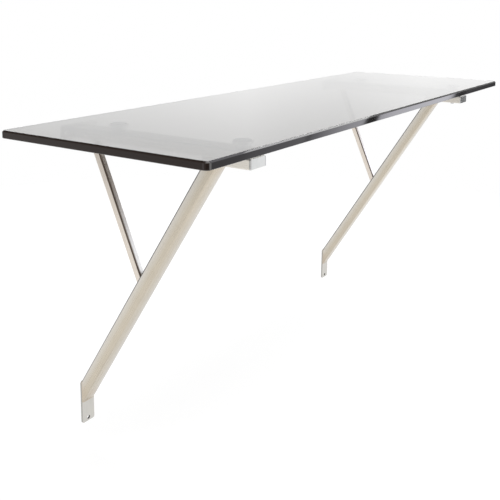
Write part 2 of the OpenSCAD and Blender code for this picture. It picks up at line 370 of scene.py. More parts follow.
@dataclass(frozen=True)
class TurnedSteel:
    """Steel turned on a lathe about an upright axis, with fine tool rings."""

    name: str
    tint: Colour
    roughness: float = 0.2
    tones: tuple[float, float] = (0.9, 1.08)
    ring_stretch: Place = (8.0, 8.0, 2200.0)
    ring_depth: float = 0.012 * MM
    ring_strength: float = 0.4
    ring_sheen: float = 0.06
    cloud_waves: float = 110.0
    cloud_sheen: float = 0.05

    def make(self) -> Material:
        """Builds the material.

        Returns:
            The steel, with tool rings along its height and a cloudy sheen.
        """
        material, graph = new_material(self.name)
        rings = graph.noise(stretch=self.ring_stretch)
        cloud = graph.noise(self.cloud_waves)
        inputs = {
            "Base Color": graph.tones((rings + cloud) / 2, self.tint, self.tones),
            "Metallic": 1.0,
            "Roughness": self.roughness + self.ring_sheen * rings + self.cloud_sheen * (cloud - 1),
            "Normal": graph.bump(rings, self.ring_strength, self.ring_depth),
        }
        graph.end(graph.principled(inputs))
        return material


@dataclass(frozen=True)
class SmokedGlass:
    """Dark grey glass, polished all over, for a sheet of a known height, half thickness and half length."""

    middle: float
    half: float
    reach: float
    name: str = "smoked_glass"
    tint: Colour = (0.45, 0.44, 0.425)
    density: float = 180.0
    ior: float = 1.52
    ground_tint: Colour = (0.0085, 0.0075, 0.0065)
    # The ends' lighter, warmer tint than the long edges' is painted light.
    end_tint: Colour = (0.021, 0.0125, 0.0095)
    streak_tones: tuple[float, float] = (0.9, 1.1)
    # Shares of the half thickness where the ground edge ends, and of the half length where the end begins.
    ground_stops: Pairs = ((0.93, 1.0), (0.99, 0.0))
    end_stops: Pairs = ((0.987, 0.0), (0.999, 1.0))
    smear_stretch: Place = (4.0, 13.0, 13.0)
    smear_harshness: float = 0.6
    smear_stops: Pairs = ((0.5, 0.0), (0.75, 1.0))
    roughness: float = 0.004
    smear_sheen: float = 0.016
    ground_roughness: float = 0.01
    mark_sheen: float = 0.05
    mark_stretch: Place = (25.0, 25.0, 1800.0)
    mark_relief: float = 0.02
    wave_scale: float = 4.0
    wave_harshness: float = 0.4
    wave_strength: float = 0.2
    wave_depth: float = 0.02 * MM

    def make(self) -> Material:
        """Builds the material.

        Returns:
            The glass, with faint wiping smears and float waves, and the dark body of its ground edge, painted
            lighter and warmer at the ends.
        """
        material, graph = new_material(self.name)
        along, _, height = graph.split(graph.coords())
        level = graph.math("ABSOLUTE", (height - self.middle) / self.half)
        # Where the ground edge takes the ends' painted light.
        at_end = graph.ramp(graph.math("ABSOLUTE", along) / self.reach, self.end_stops)
        smear = graph.noise(detail=3.0, roughness=self.smear_harshness, stretch=self.smear_stretch)
        marks = graph.noise(stretch=self.mark_stretch)
        wave = graph.noise(self.wave_scale, detail=1.0, roughness=self.wave_harshness)
        streaked = [graph.tones(marks, tint, self.streak_tones) for tint in (self.ground_tint, self.end_tint)]
        sheet = {
            "Base Color": WHITE,
            "Roughness": self.roughness + self.smear_sheen * graph.ramp(smear, self.smear_stops),
            "IOR": self.ior,
            "Transmission Weight": 1.0,
            "Normal": graph.bump(wave, self.wave_strength, self.wave_depth),
        }
        ground = {
            "Base Color": graph.mix(at_end, *streaked),
            "Roughness": self.ground_roughness + self.mark_sheen * marks,
            "IOR": self.ior,
            "Normal": graph.bump(wave + self.mark_relief * marks, self.wave_strength, self.wave_depth),
        }
        edge = graph.ramp(level, self.ground_stops)
        volume = graph.node("VolumeAbsorption", {"Color": self.tint, "Density": self.density})[0]
        graph.end(graph.blend(edge, graph.principled(sheet), graph.principled(ground)), Volume=volume)
        return material


@dataclass(frozen=True)
class ClearBond:
    """The clear, slightly cloudy pad between a disc and the glass."""

    name: str = "clear_bond"
    tint: Colour = (0.84, 0.86, 0.86)
    bubble_waves: float = 1400.0
    bubble_stops: Pairs = ((0.62, 0.0), (0.68, 1.0))
    bubble_sheen: float = 0.3
    roughness: float = 0.15
    clearness: float = 0.7
    ior: float = 1.45

    def make(self) -> Material:
        """Builds the material.

        Returns:
            A translucent material with fine bubbles.
        """
        material, graph = new_material(self.name)
        bubbles = graph.ramp(graph.noise(self.bubble_waves, detail=1.0), self.bubble_stops)
        inputs = {
            "Base Color": graph.mix(bubbles, self.tint, WHITE),
            "Roughness": self.roughness + self.bubble_sheen * bubbles,
            "Transmission Weight": self.clearness,
            "IOR": self.ior,
        }
        graph.end(graph.principled(inputs))
        return material


def clear_selection(active: Object | None = None) -> None:
    """Deselects everything.

    Args:
        active: An object that is then selected.
    """
    bpy.ops.object.select_all(action="DESELECT")
    bpy.context.view_layer.objects.active = active
    if active is not None:
        active.select_set(True)


def dress(obj: Object, material: Material) -> None:
    """Gives an object one material all over."""
    obj.data.materials.clear()
    obj.data.materials.append(material)


def settle(name: str) -> Object:
    """Names a new primitive and puts its place, turn and scale into its mesh.

    Args:
        name: The object's name.

    Returns:
        The object.
    """
    made = bpy.context.active_object
    made.name = made.data.name = name
    bpy.ops.object.transform_apply()
    return made


def pick(obj: Object, kind: str, test: Callable[[Any], bool]) -> int:
    """Selects the edges or faces that pass a test, and nothing else, in edit mode.

    Args:
        obj: The object.
        kind: EDGE or FACE.
        test: Tells whether an edge or face is selected.

    Returns:
        How many are selected.
    """
    bpy.ops.object.mode_set(mode="EDIT")
    bpy.ops.mesh.select_mode(type=kind)
    bpy.ops.mesh.select_all(action="DESELECT")
    shape = bmesh.from_edit_mesh(obj.data)
    picked = [part for part in (shape.edges if kind == "EDGE" else shape.faces) if test(part)]
    for part in picked:
        part.select_set(True)
    bmesh.update_edit_mesh(obj.data)
    return len(picked)


def paint_node(name: str, material: Material) -> None:
    """Dresses a CAD node, whose shape is kept.

    Args:
        name: The node's name.
        material: Its finish.
    """
    for slot in bpy.data.objects[name].material_slots:
        slot.material = material
    log.info("node %s: %s", name, material.name)


@dataclass(frozen=True)
class Made:
    """A finished piece, with the CAD parts that it stands for."""

    obj: Object
    slot: str
    parts: tuple[str, ...] = ()

    def hand_over(self, prefix: str = "") -> None:
        """Makes the piece ride with the desk and names the CAD nodes that it stands for.

        Args:
            prefix: What their names have before the parts' names.
        """
        nodes = [prefix + part for part in self.parts]
        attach(self.obj, "root")
        if nodes:
            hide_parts(*nodes)
        faces = len(self.obj.data.polygons)
        log.info("piece %s: %d faces, stands for %s", self.obj.name, faces, nodes or "no node")

    def copy(self, old: str, new: str, shift: Vector) -> "Made":
        """Copies the piece with a mesh of its own.

        Args:
            old: Start of the piece's name.
            new: What the copy's name starts with instead.
            shift: Where the copy goes, from the piece.

        Returns:
            The copy.
        """
        twin = self.obj.copy()
        twin.data = self.obj.data.copy()
        twin.name = twin.data.name = self.obj.name.replace(old, new, 1)
        twin.data.transform(Matrix.Translation(shift))
        bpy.context.scene.collection.objects.link(twin)
        return replace(self, obj=twin)


class Workpiece:
    """A block that is shaped in edit mode."""

    def __init__(self, name: str, low: Vector, high: Vector) -> None:
        """Starts from a block.

        Args:
            name: The piece's name.
            low: The block's lowest corner.
            high: Its highest corner.
        """
        clear_selection()
        bpy.ops.mesh.primitive_cube_add(size=1.0, location=(low + high) / 2, scale=high - low)
        self.obj = settle(name)

    def _bevel(self, test: Callable[[Any], bool], width: float, segments: int) -> None:
        """Bevels the edges that pass a test.

        Args:
            test: Tells whether an edge is bevelled.
            width: Width of the bevel in metres.
            segments: Number of flats in it.
        """
        pick(self.obj, "EDGE", test)
        bpy.ops.mesh.bevel(offset=width, segments=segments)
        bpy.ops.object.mode_set(mode="OBJECT")

    def round_corners(
        self, axis: int, radius: float, segments: int = 6, keep: Callable[[Vector], bool] = lambda place: True
    ) -> None:
        """Rounds the edges that run along an axis.

        Args:
            axis: The axis' number.
            radius: Radius in metres.
            segments: Number of flats in each corner.
            keep: Takes an edge's middle and says whether it is rounded.
        """
        def runs_along(edge: bmesh.types.BMEdge) -> bool:
            """Tells whether an edge is one of those to round."""
            start, end = (v.co for v in edge.verts)
            return abs((end - start).normalized()[axis]) > ALIGNED and keep((start + end) / 2)

        self._bevel(runs_along, radius, segments)

    def move_edges(self, keep: Callable[[Vector], bool], step: Vector) -> None:
        """Moves the edges whose middles pass a test.

        Args:
            keep: Takes an edge's middle and says whether it is moved.
            step: Which way and how far.
        """
        pick(self.obj, "EDGE", lambda edge: keep((edge.verts[0].co + edge.verts[1].co) / 2))
        bpy.ops.transform.translate(value=step)
        bpy.ops.object.mode_set(mode="OBJECT")

    def soften_rim(self, axis: int, sign: int, width: float, segments: int = 3) -> None:
        """Bevels all round a flat face at one end of an axis.

        Args:
            axis: The axis' number.
            sign: 1 for the face that looks along the axis, -1 for the other.
            width: Width of the bevel in metres.
            segments: Number of flats in it.
        """
        self._bevel(
            lambda edge: sum(f.normal[axis] * sign > ALIGNED for f in edge.link_faces) == 1, width, segments
        )

    def soften_sharp(self, width: float, segments: int = 2, angle: float = 50.0) -> None:
        """Bevels every edge whose faces meet at more than an angle, in degrees."""
        limit = math.radians(angle)
        self._bevel(lambda edge: edge.is_manifold and edge.calc_face_angle() > limit, width, segments)

    def drill(self, place: Vector, radius: float, reach: float, axis: int = Y, sides: int = 48) -> None:
        """Cuts a hole.

        Args:
            place: A point on the hole's axis.
            radius: The hole's radius, to its corners.
            reach: How far the cutter runs each way from the point.
            axis: The axis that the hole runs along.
            sides: Number of sides; 6 makes a hexagon.
        """
        turn = (math.pi / 2, 0.0, 0.0) if axis == Y else (0.0, 0.0, 0.0)
        clear_selection()
        bpy.ops.mesh.primitive_cylinder_add(
            vertices=sides, radius=radius, depth=2 * reach, location=place, rotation=turn
        )
        cutter = bpy.context.active_object
        clear_selection(self.obj)
        cut = self.obj.modifiers.new("hole", "BOOLEAN")
        cut.operation = "DIFFERENCE"
        cut.solver = "EXACT"
        cut.object = cutter
        bpy.ops.object.modifier_apply(modifier=cut.name)
        bpy.data.objects.remove(cutter)

    def grow_plug(self, axis: int, inset: float, length: float) -> None:
        """Insets the flat face at the far end of an axis and pushes it out.

        Args:
            axis: The axis' number.
            inset: Width of the step round the plug.
            length: Length of the plug.
        """
        step = [0.0, 0.0, 0.0]
        step[axis] = length
        pick(self.obj, "FACE", lambda face: face.normal[axis] > ALIGNED)
        bpy.ops.mesh.inset(thickness=inset)
        bpy.ops.mesh.extrude_region_move(TRANSFORM_OT_translate={"value": step})
        bpy.ops.object.mode_set(mode="OBJECT")

    def finish(self, material: Material, slot: str, *parts: str, angle: float = 32.0) -> Made:
        """Smooths the piece, keeps its flats flat and dresses it.

        Args:
            material: Its finish.
            slot: The record's material slot.
            parts: The CAD parts that it stands for.
            angle: Edges sharper than this, in degrees, stay sharp.

        Returns:
            The finished piece.
        """
        clear_selection(self.obj)
        bpy.ops.object.shade_smooth_by_angle(angle=math.radians(angle))
        even = self.obj.modifiers.new("even_normals", "WEIGHTED_NORMAL")
        even.keep_sharp = True
        bpy.ops.object.modifier_apply(modifier=even.name)
        dress(self.obj, material)
        return Made(self.obj, slot, parts)


class Turning(Workpiece):
    """A piece turned about an upright axis."""

    MERGE_REACH = 0.002 * MM

    def __init__(self, name: str, axis: Vector, outline: Pairs, steps: int = 48) -> None:
        """Draws half of the section point by point, then spins it.

        Args:
            name: The piece's name.
            axis: A point on the axis.
            outline: Radius and height of the section's points, in order.
            steps: Number of steps in the turn.
        """
        start_radius, start_height = outline[0]
        clear_selection()
        bpy.ops.mesh.primitive_plane_add(size=MM, location=(axis.x + start_radius, axis.y, start_height))
        self.obj = settle(name)
        bpy.ops.object.mode_set(mode="EDIT")
        bpy.ops.mesh.select_mode(type="VERT")
        bpy.ops.mesh.select_all(action="SELECT")
        bpy.ops.mesh.merge(type="CENTER")
        ring = (*outline, outline[0]) if start_radius > 0.0 else outline
        for (radius, height), (next_radius, next_height) in zip(ring, ring[1:]):
            step = (next_radius - radius, 0.0, next_height - height)
            bpy.ops.mesh.extrude_region_move(TRANSFORM_OT_translate={"value": step})
        self._merge_doubles()
        bpy.ops.mesh.spin(steps=steps, angle=2 * math.pi, center=(axis.x, axis.y, 0.0), axis=UP)
        self._merge_doubles()
        bpy.ops.mesh.normals_make_consistent()
        bpy.ops.object.mode_set(mode="OBJECT")

    def _merge_doubles(self) -> None:
        """Merges the points that lie on each other."""
        bpy.ops.mesh.select_all(action="SELECT")
        bpy.ops.mesh.remove_doubles(threshold=self.MERGE_REACH)


@dataclass
class GlassTop:
    """The smoked glass slab."""

    corner_radius: float = 10 * MM
    corner_flats: int = 14
    upper_arris: float = 3 * MM
    lower_arris: float = 1 * MM
    arris_soften: float = 0.25 * MM
    soften_angle: float = 30.0
    smooth_angle: float = 24.0

    def build(self) -> None:
        """Models the slab, with round corners and polished arrises."""
        low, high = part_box("glass_top")
        slab = Workpiece("glass_slab", low, high)
        slab.round_corners(Z, self.corner_radius, self.corner_flats)
        slab.soften_rim(Z, 1, self.upper_arris, segments=1)
        slab.soften_rim(Z, -1, self.lower_arris, segments=1)
        slab.soften_sharp(self.arris_soften, angle=self.soften_angle)
        glass = SmokedGlass((low.z + high.z) / 2, (high.z - low.z) / 2, high.x).make()
        slab.finish(glass, "smoked_glass", "glass_top", angle=self.smooth_angle).hand_over()


@dataclass
class WeldSeam:
    """A weld round a tube's end, ground smooth: a low bead along a rounded rectangle."""

    name: str
    centre: Vector
    along: Vector
    width: float
    length: float
    corner: float
    bead: float = 1.1 * MM
    pitch: float = 2.4 * MM
    corner_flats: int = 5
    # Each ripple's height, as a share of the bead, and its turn in radians from one point to the next.
    ripples: Pairs = ((0.1, 1.9), (0.05, 0.37))

    def build(self, material: Material) -> Made:
        """Models the bead.

        Args:
            material: Its finish.

        Returns:
            The finished bead.
        """
        clear_selection()
        bpy.ops.mesh.primitive_plane_add(size=1.0)
        bpy.context.active_object.scale = (self.width, self.length, 1.0)
        line = settle(self.name)
        bpy.ops.object.mode_set(mode="EDIT")
        bpy.ops.mesh.select_all(action="SELECT")
        bpy.ops.mesh.bevel(offset=self.corner, segments=self.corner_flats, affect="VERTICES")
        bpy.ops.mesh.select_all(action="SELECT")
        bpy.ops.mesh.delete(type="ONLY_FACE")
        # The bead swells and shrinks from point to point, so long edges are split.
        while pick(line, "EDGE", lambda edge: edge.calc_length() > self.pitch):
            bpy.ops.mesh.subdivide()
        bpy.ops.object.mode_set(mode="OBJECT")
        turn = Matrix((EAST, self.along, EAST.cross(self.along))).transposed().to_4x4()
        line.matrix_world = Matrix.Translation(self.centre) @ turn
        bpy.ops.object.transform_apply()
        bpy.ops.object.convert(target="CURVE")
        self._thicken(line.data)
        bpy.ops.object.convert(target="MESH")
        bpy.ops.object.shade_smooth()
        dress(line, material)
        return Made(line, "brushed_steel")

    def _thicken(self, curve: bpy.types.Curve) -> None:
        """Gives the outline its round bead, slightly uneven along its length.

        Args:
            curve: The outline.
        """
        curve.dimensions = "3D"
        curve.bevel_depth = self.bead
        curve.bevel_resolution = 2
        for spline in curve.splines:
            for number, point in enumerate(spline.points):
                point.radius = 1.0 + sum(share * math.sin(turn * number) for share, turn in self.ripples)


def on_both(places: list[Vector]) -> tuple[Place, ...]:
    """Places on one bracket and the same places on the other one."""
    return tuple((sign * p.x, p.y, p.z) for p in places for sign in (1.0, -1.0))


@dataclass
class Bracket:
    """A Y-shaped bracket: arm with cap, main strut, upper strut, and two wall plates."""

    side: Side = Side.LEFT
    tube_corner: float = 2.5 * MM
    strut_corner: float = 3.2 * MM
    prop_corner: float = 2.2 * MM
    strut_depth: float = 28 * MM
    foot_corner: float = 5 * MM
    head_corner: float = 5 * MM
    hole_radius: float = 4 * MM
    plate_bevel: float = 0.6 * MM
    foot_hole_edge: float = 8 * MM
    head_hole_edge: float = 12.5 * MM
    cap_thickness: float = 3 * MM
    cap_bevel: float = 0.7 * MM
    seam_bevel: float = 0.45 * MM
    plug_length: float = 8 * MM
    plug_inset: float = 2.2 * MM
    thin_bead: float = 0.8 * MM
    plate_bead_inset: float = MM
    slope_rounds: int = 20
    # The arm, tube, prop, plate and cap tints are warm and differ piece by piece: partly the steel's own
    # colour, partly painted light and painted reflection of warm surroundings; the cap's near-white tint is
    # mostly painted highlight.
    arm_tint: Colour = (0.69, 0.655, 0.595)
    tube_tint: Colour = (0.56, 0.505, 0.415)
    prop_tint: Colour = (0.7, 0.635, 0.565)
    bead_tint: Colour = (0.55, 0.462, 0.352)
    plate_tint: Colour = (0.6, 0.585, 0.55)
    plate_roughness: float = 0.32
    cap_tint: Colour = (0.95, 0.98, 0.9)
    cast_seams: tuple[str, ...] = ("strut_arm", "strut_plate", "arm_plate")
    # Painted shade on the rims at the left and right of the cap.
    cap_zones: tuple[Zone, ...] = (
        Zone(Measure.SIDE, ((0.046, 1.0), (0.05, 0.0)), (0.58, 0.58, 0.56)),
        Zone(Measure.SIDE, ((0.95, 0.0), (0.954, 1.0)), (0.58, 0.58, 0.56)),
    )
    # Painted shade along the left and right sides of the lower plate.
    foot_shade_zones: tuple[Zone, ...] = (
        Zone(Measure.SIDE, ((0.008, 1.0), (0.016, 0.0)), (0.4, 0.39, 0.37)),
        Zone(Measure.SIDE, ((0.984, 0.0), (0.992, 1.0)), (0.4, 0.39, 0.37)),
    )
    # Painted reflection: paler steel away from the main strut's left front edge; and a painted shade line
    # along its rear edges.
    strut_light_shade_zones: tuple[Zone, ...] = (
        Zone(Measure.CORNER, ((0.35, 0.0), (0.95, 1.0)), (0.635, 0.61, 0.565), 0.1),
        Zone(Measure.DEPTH, ((0.88, 0.0), (0.92, 1.0), (0.975, 1.0), (0.99, 0.0)), (0.2, 0.195, 0.195)),
    )
    # A painted reflection on the upper strut's front face, bright further down, and a painted shade line
    # along its left edge.
    prop_light_shade_zones: tuple[Zone, ...] = (
        Zone(Measure.DEPTH, ((0.03, 1.0), (0.1, 0.0)), (1.0, 1.0, 0.99), fall=((0.3, 0.0), (0.68, 1.0))),
        Zone(Measure.SEAM, ((0.18, 1.0), (0.42, 0.0)), (0.2, 0.155, 0.125)),
    )

    def box(self, part: str) -> tuple[Vector, Vector]:
        """Lowest and highest corner of one of this bracket's CAD parts."""
        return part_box(f"{self.side.value}_{part}")

    def build(self) -> list[Made]:
        """Models the bracket's own pieces.

        Returns:
            The caps, plates and welds, not yet handed over.
        """
        self._measure()
        pieces = [self._cap(), self._foot_plate(), self._head_plate()]
        bead = BrushedSteel("weld_steel", self.bead_tint, roughness=0.34, grain_length=2 * MM).make()
        return pieces + [seam.build(bead) for seam in self._seams()]

    def paint(self) -> None:
        """Dresses the tubes of both brackets, whose CAD shapes are kept."""
        welds = on_both([seam.centre for seam in self._seams() if seam.name.endswith(self.cast_seams)])
        low, high = self.box("main_strut")
        front = high.y * math.sin(self.strut_slope) + low.z * math.cos(self.strut_slope)
        strut = Section(self.middle, high.x - low.x, front, self.strut_depth)
        low, high = self.box("upper_strut")
        rear = high.y * math.sin(self.prop_slope) - high.z * math.cos(self.prop_slope)
        prop = Section(self.middle, self.prop_width, rear - self.prop_width, self.prop_width)
        finishes = {
            "arm_tube": BrushedSteel("arm_steel", self.arm_tint, math.pi / 2, welds=welds),
            "main_strut": BrushedSteel(
                "strut_steel", self.tube_tint, self.strut_slope - math.pi / 2,
                welds=welds, section=strut, zones=self.strut_light_shade_zones,
            ),
            "upper_strut": BrushedSteel(
                "prop_steel", self.prop_tint, math.pi / 2 - self.prop_slope,
                section=prop, zones=self.prop_light_shade_zones,
            ),
        }
        for part, finish in finishes.items():
            material = finish.make()
            for side in Side:
                paint_node(f"{side.value}_{part}", material)

    def _measure(self) -> None:
        """Works out the slopes of the two struts from their CAD boxes, by rounds of closer guesses."""
        low, high = self.box("arm_tube")
        self.middle = abs(low.x + high.x) / 2
        low, high = self.box("main_strut")
        size = high - low
        slope = math.atan2(size.z, size.y)
        for _ in range(self.slope_rounds):
            rise = size.z - self.strut_depth / math.cos(slope)
            slope = math.atan2(rise, size.y - self.strut_depth / math.sin(slope))
        self.strut_slope = slope
        low, high = self.box("upper_strut")
        size = high - low
        self.prop_width = size.x
        prop = math.atan2(size.z, size.y)
        for _ in range(self.slope_rounds):
            self.prop_foot = self.prop_width / math.sin(math.pi - prop - slope)
            prop = math.atan2(size.z, size.y - self.prop_foot * math.cos(slope))
        self.prop_slope = prop

    def _cap(self) -> Made:
        """Models the cap on the arm's front end, with its plug.

        Returns:
            The finished cap.
        """
        low, high = self.box("arm_end_cap")
        rear = Vector((high.x, low.y + self.cap_thickness, high.z))
        cap = Workpiece(f"{self.side.value}_end_cap", low, rear)
        cap.round_corners(Y, self.tube_corner)
        cap.soften_rim(Y, -1, self.cap_bevel)
        cap.soften_rim(Y, 1, self.seam_bevel, segments=2)
        cap.grow_plug(Y, self.plug_inset, self.plug_length)
        section = Section(self.middle, high.x - low.x, low.z, high.z - low.z)
        steel = BrushedSteel(
            "cap_steel", self.cap_tint, math.pi / 2, roughness=0.045, broad_waves=120.0,
            grain_depth=0.004 * MM, section=section, zones=self.cap_zones,
        )
        return cap.finish(steel.make(), "cap_steel", "arm_end_cap")

    def _foot_plate(self) -> Made:
        """Models the lower wall plate, its top ground flush with the strut's rear face.

        Returns:
            The finished plate.
        """
        low, high = self.box("lower_wall_plate")
        centre = (low + high) / 2
        size = high - low
        hole = Vector((centre.x, centre.y, low.z + self.foot_hole_edge))
        flush = size.y * math.tan(self.strut_slope)

        plate = Workpiece(f"{self.side.value}_foot_plate", low, high)
        # The plate's upper rear edge goes down.
        plate.move_edges(
            lambda p: p.y > centre.y and p.z > centre.z and abs(p.x - centre.x) < MM, -flush * UP
        )
        plate.round_corners(Y, self.foot_corner, segments=8, keep=lambda place: place.z < centre.z)
        plate.drill(hole, self.hole_radius, size.y)
        plate.soften_rim(Y, -1, self.plate_bevel)
        steel = BrushedSteel(
            "foot_plate_steel", self.plate_tint, roughness=self.plate_roughness,
            section=Section(self.middle, size.x, low.y, size.y), zones=self.foot_shade_zones,
            shaded_bores=on_both([hole]), bore_radius=self.hole_radius,
        )
        return plate.finish(steel.make(), "plate_steel", "lower_wall_plate")

    def _head_plate(self) -> Made:
        """Models the upper wall plate.

        Returns:
            The finished plate.
        """
        low, high = self.box("upper_wall_plate")
        size = high - low
        offset = size.x / 2 - self.head_hole_edge
        plate = Workpiece(f"{self.side.value}_head_plate", low, high)
        plate.round_corners(Y, self.head_corner)
        for sign in (-1, 1):
            plate.drill((low + high) / 2 + EAST * (sign * offset), self.hole_radius, size.y)
        plate.soften_rim(Y, -1, self.plate_bevel)
        steel = BrushedSteel("head_plate_steel", self.plate_tint, roughness=self.plate_roughness)
        return plate.finish(steel.make(), "plate_steel", "upper_wall_plate")

    def _seams(self) -> list[WeldSeam]:
        """Lists the beads of the bracket's five joints.

        Returns:
            The beads, not yet modelled.
        """
        arm_low, arm_high = self.box("arm_tube")
        strut_low, strut_high = self.box("main_strut")
        prop_low, prop_high = self.box("upper_strut")
        arm = arm_high - arm_low
        width = strut_high.x - strut_low.x
        top = self.strut_depth / math.sin(self.strut_slope)
        end = self.strut_depth / math.cos(self.strut_slope)
        prop_top = self.prop_width / math.sin(self.prop_slope)
        slope = Vector((0.0, -math.cos(self.strut_slope), math.sin(self.strut_slope)))
        foot = (prop_low.y - slope.y * self.prop_foot / 2, prop_low.z + slope.z * self.prop_foot / 2)
        prop = (self.prop_corner, self.thin_bead)
        inset = self.plate_bead_inset
        rows = (
            ("strut_arm", (strut_low.y + top / 2, arm_low.z), BACK, width, top, self.strut_corner),
            ("prop_arm", (prop_high.y - prop_top / 2, arm_low.z), BACK, self.prop_width, prop_top, *prop),
            ("strut_plate", (strut_high.y, strut_low.z + end / 2), UP,
             width - inset, end - inset, self.strut_corner, self.thin_bead),
            ("arm_plate", (arm_high.y, arm_low.z + arm.z / 2), UP, arm.x, arm.z, self.tube_corner),
            ("prop_strut", foot, slope, self.prop_width, self.prop_foot, *prop),
        )
        return [
            WeldSeam(f"{self.side.value}_weld_{name}", Vector((arm_low.x + arm.x / 2, y, z)), *shape)
            for name, (y, z), *shape in rows
        ]


@dataclass
class StandOff:
    """A stand-off: turned post and disc, bonding pad, sleeve, washer and socket screw."""

    side: Side = Side.LEFT
    end: End = End.FRONT
    screw_radius: float = 3.0 * MM
    bore_radius: float = 3.25 * MM
    groove_depth: float = 0.9 * MM
    groove_width: float = 1.4 * MM
    socket_across: float = 4.0 * MM
    socket_depth: float = 2.2 * MM
    thread_end_gap: float = 0.3 * MM
    # Share of the screw head's radius, and height above its lowest point, where its dome turns.
    dome: Pairs = ((0.72, 0.0), (0.93, 0.9 * MM), (1.0, 2.1 * MM))
    edge: float = 0.5 * MM
    screw_edge: float = 0.15 * MM
    disc_tint: Colour = (0.6, 0.6, 0.6)
    screw_tint: Colour = (0.42, 0.42, 0.43)

    @property
    def prefix(self) -> str:
        """Start of the names of this stand-off's parts."""
        return f"{self.side.value}_{self.end.value}"

    def _span(self, part: str) -> tuple[Vector, float, float, float]:
        """Middle, radius, lowest and highest height of one of this stand-off's CAD parts."""
        low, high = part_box(f"{self.prefix}_{part}")
        return (low + high) / 2, (high.x - low.x) / 2, low.z, high.z

    def build(self) -> list[Made]:
        """Models the turned pieces.

        Returns:
            The post, disc, washer and screw, not yet handed over.
        """
        disc = TurnedSteel("turned_steel", self.disc_tint).make()
        screw = TurnedSteel("screw_steel", self.screw_tint, roughness=0.26).make()
        return [
            self._post().finish(disc, "turned_steel", "post"),
            self._disc().finish(disc, "turned_steel", "disc"),
            self._washer().finish(screw, "screw_steel", "washer"),
            self._screw().finish(screw, "screw_steel", "screw"),
        ]

    def _post(self) -> Turning:
        """Models the post, with a fine groove round its middle.

        Returns:
            The post.
        """
        middle, radius, low, high = self._span("post")
        groove = radius - self.groove_depth
        groove_low = (low + high - self.groove_width) / 2
        groove_high = groove_low + self.groove_width
        outline = (
            (self.bore_radius, low), (radius, low), (radius, groove_low), (groove, groove_low),
            (groove, groove_high), (radius, groove_high), (radius, high), (self.bore_radius, high),
        )
        post = Turning(f"{self.prefix}_turned_post", middle, outline)
        post.soften_sharp(self.edge / 2)
        return post

    def _disc(self) -> Turning:
        """Models the disc, with a blind hole for the screw.

        Returns:
            The disc.
        """
        middle, radius, low, high = self._span("disc")
        hole_top = self._span("screw")[3] + self.thread_end_gap
        outline = (
            (0.0, high), (radius, high), (radius, low),
            (self.bore_radius, low), (self.bore_radius, hole_top), (0.0, hole_top),
        )
        disc = Turning(f"{self.prefix}_turned_disc", middle, outline, steps=64)
        disc.soften_sharp(self.edge, segments=3)
        return disc

    def _washer(self) -> Turning:
        """Models the washer under the arm.

        Returns:
            The washer.
        """
        middle, radius, low, high = self._span("washer")
        outline = ((self.bore_radius, low), (radius, low), (radius, high), (self.bore_radius, high))
        washer = Turning(f"{self.prefix}_ring_washer", middle, outline)
        washer.soften_sharp(self.edge / 2)
        return washer

    def _screw(self) -> Turning:
        """Models the screw, its head down, with a domed rim and a hexagon socket.

        Returns:
            The screw.
        """
        middle, radius, low, high = self._span("screw")
        head_top = self._span("washer")[2]
        outline = (
            (0.0, low), *((share * radius, low + rise) for share, rise in self.dome),
            (radius, head_top), (self.screw_radius, head_top), (self.screw_radius, high), (0.0, high),
        )
        screw = Turning(f"{self.prefix}_socket_screw", middle, outline, steps=36)
        corners = self.socket_across / math.sqrt(3)
        screw.drill(Vector((middle.x, middle.y, low)), corners, self.socket_depth, Z, sides=6)
        screw.soften_sharp(self.screw_edge)
        return screw


@dataclass
class Desk:
    """The whole desk: the glass top, two brackets and four stand-offs."""

    top: GlassTop
    bracket: Bracket
    stand_off: StandOff

    def build(self) -> None:
        """Builds one of each sub-assembly and copies it to its other places."""
        self.top.build()
        pieces = self.bracket.build()
        self.bracket.paint()
        for side in Side:
            self._place(pieces, self.bracket.side.value, side.value, "arm_tube")
        pieces = self.stand_off.build()
        bond = ClearBond().make()
        for prefix in [f"{side.value}_{end.value}" for side in Side for end in End]:
            self._place(pieces, self.stand_off.prefix, prefix, "post")
            paint_node(f"{prefix}_bond_pad", bond)
            paint_node(f"{prefix}_sleeve", pieces[0].obj.data.materials[0])

    @staticmethod
    def _place(pieces: list[Made], first: str, prefix: str, guide: str) -> None:
        """Hands over a sub-assembly at one of its places, as a copy at all but the first.

        Args:
            pieces: Its pieces at the first place.
            first: Start of the names of the parts there.
            prefix: Start of the names of the parts at this place.
            guide: A part that tells how far apart the places are.
        """
        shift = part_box(f"{prefix}_{guide}")[0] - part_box(f"{first}_{guide}")[0]
        for made in pieces:
            piece = made if prefix == first else made.copy(first, prefix, shift)
            piece.hand_over(f"{prefix}_")


@dataclass(frozen=True)
class Softbox:
    """A square lamp that the camera doesn't see, with its side in metres and its power in watts."""

    name: str
    place: Place
    target: Place
    size: float
    power: float

    def hang(self) -> None:
        """Adds the lamp to the scene, facing its target."""
        lamp = bpy.data.lights.new(self.name, "AREA")
        lamp.shape = "SQUARE"
        lamp.size = self.size
        lamp.energy = self.power
        box = bpy.data.objects.new(self.name, lamp)
        box.location = self.place
        view = Vector(self.target) - Vector(self.place)
        box.rotation_euler = view.to_track_quat("-Z", "Y").to_euler()
        box.visible_camera = False
        bpy.context.scene.collection.objects.link(box)


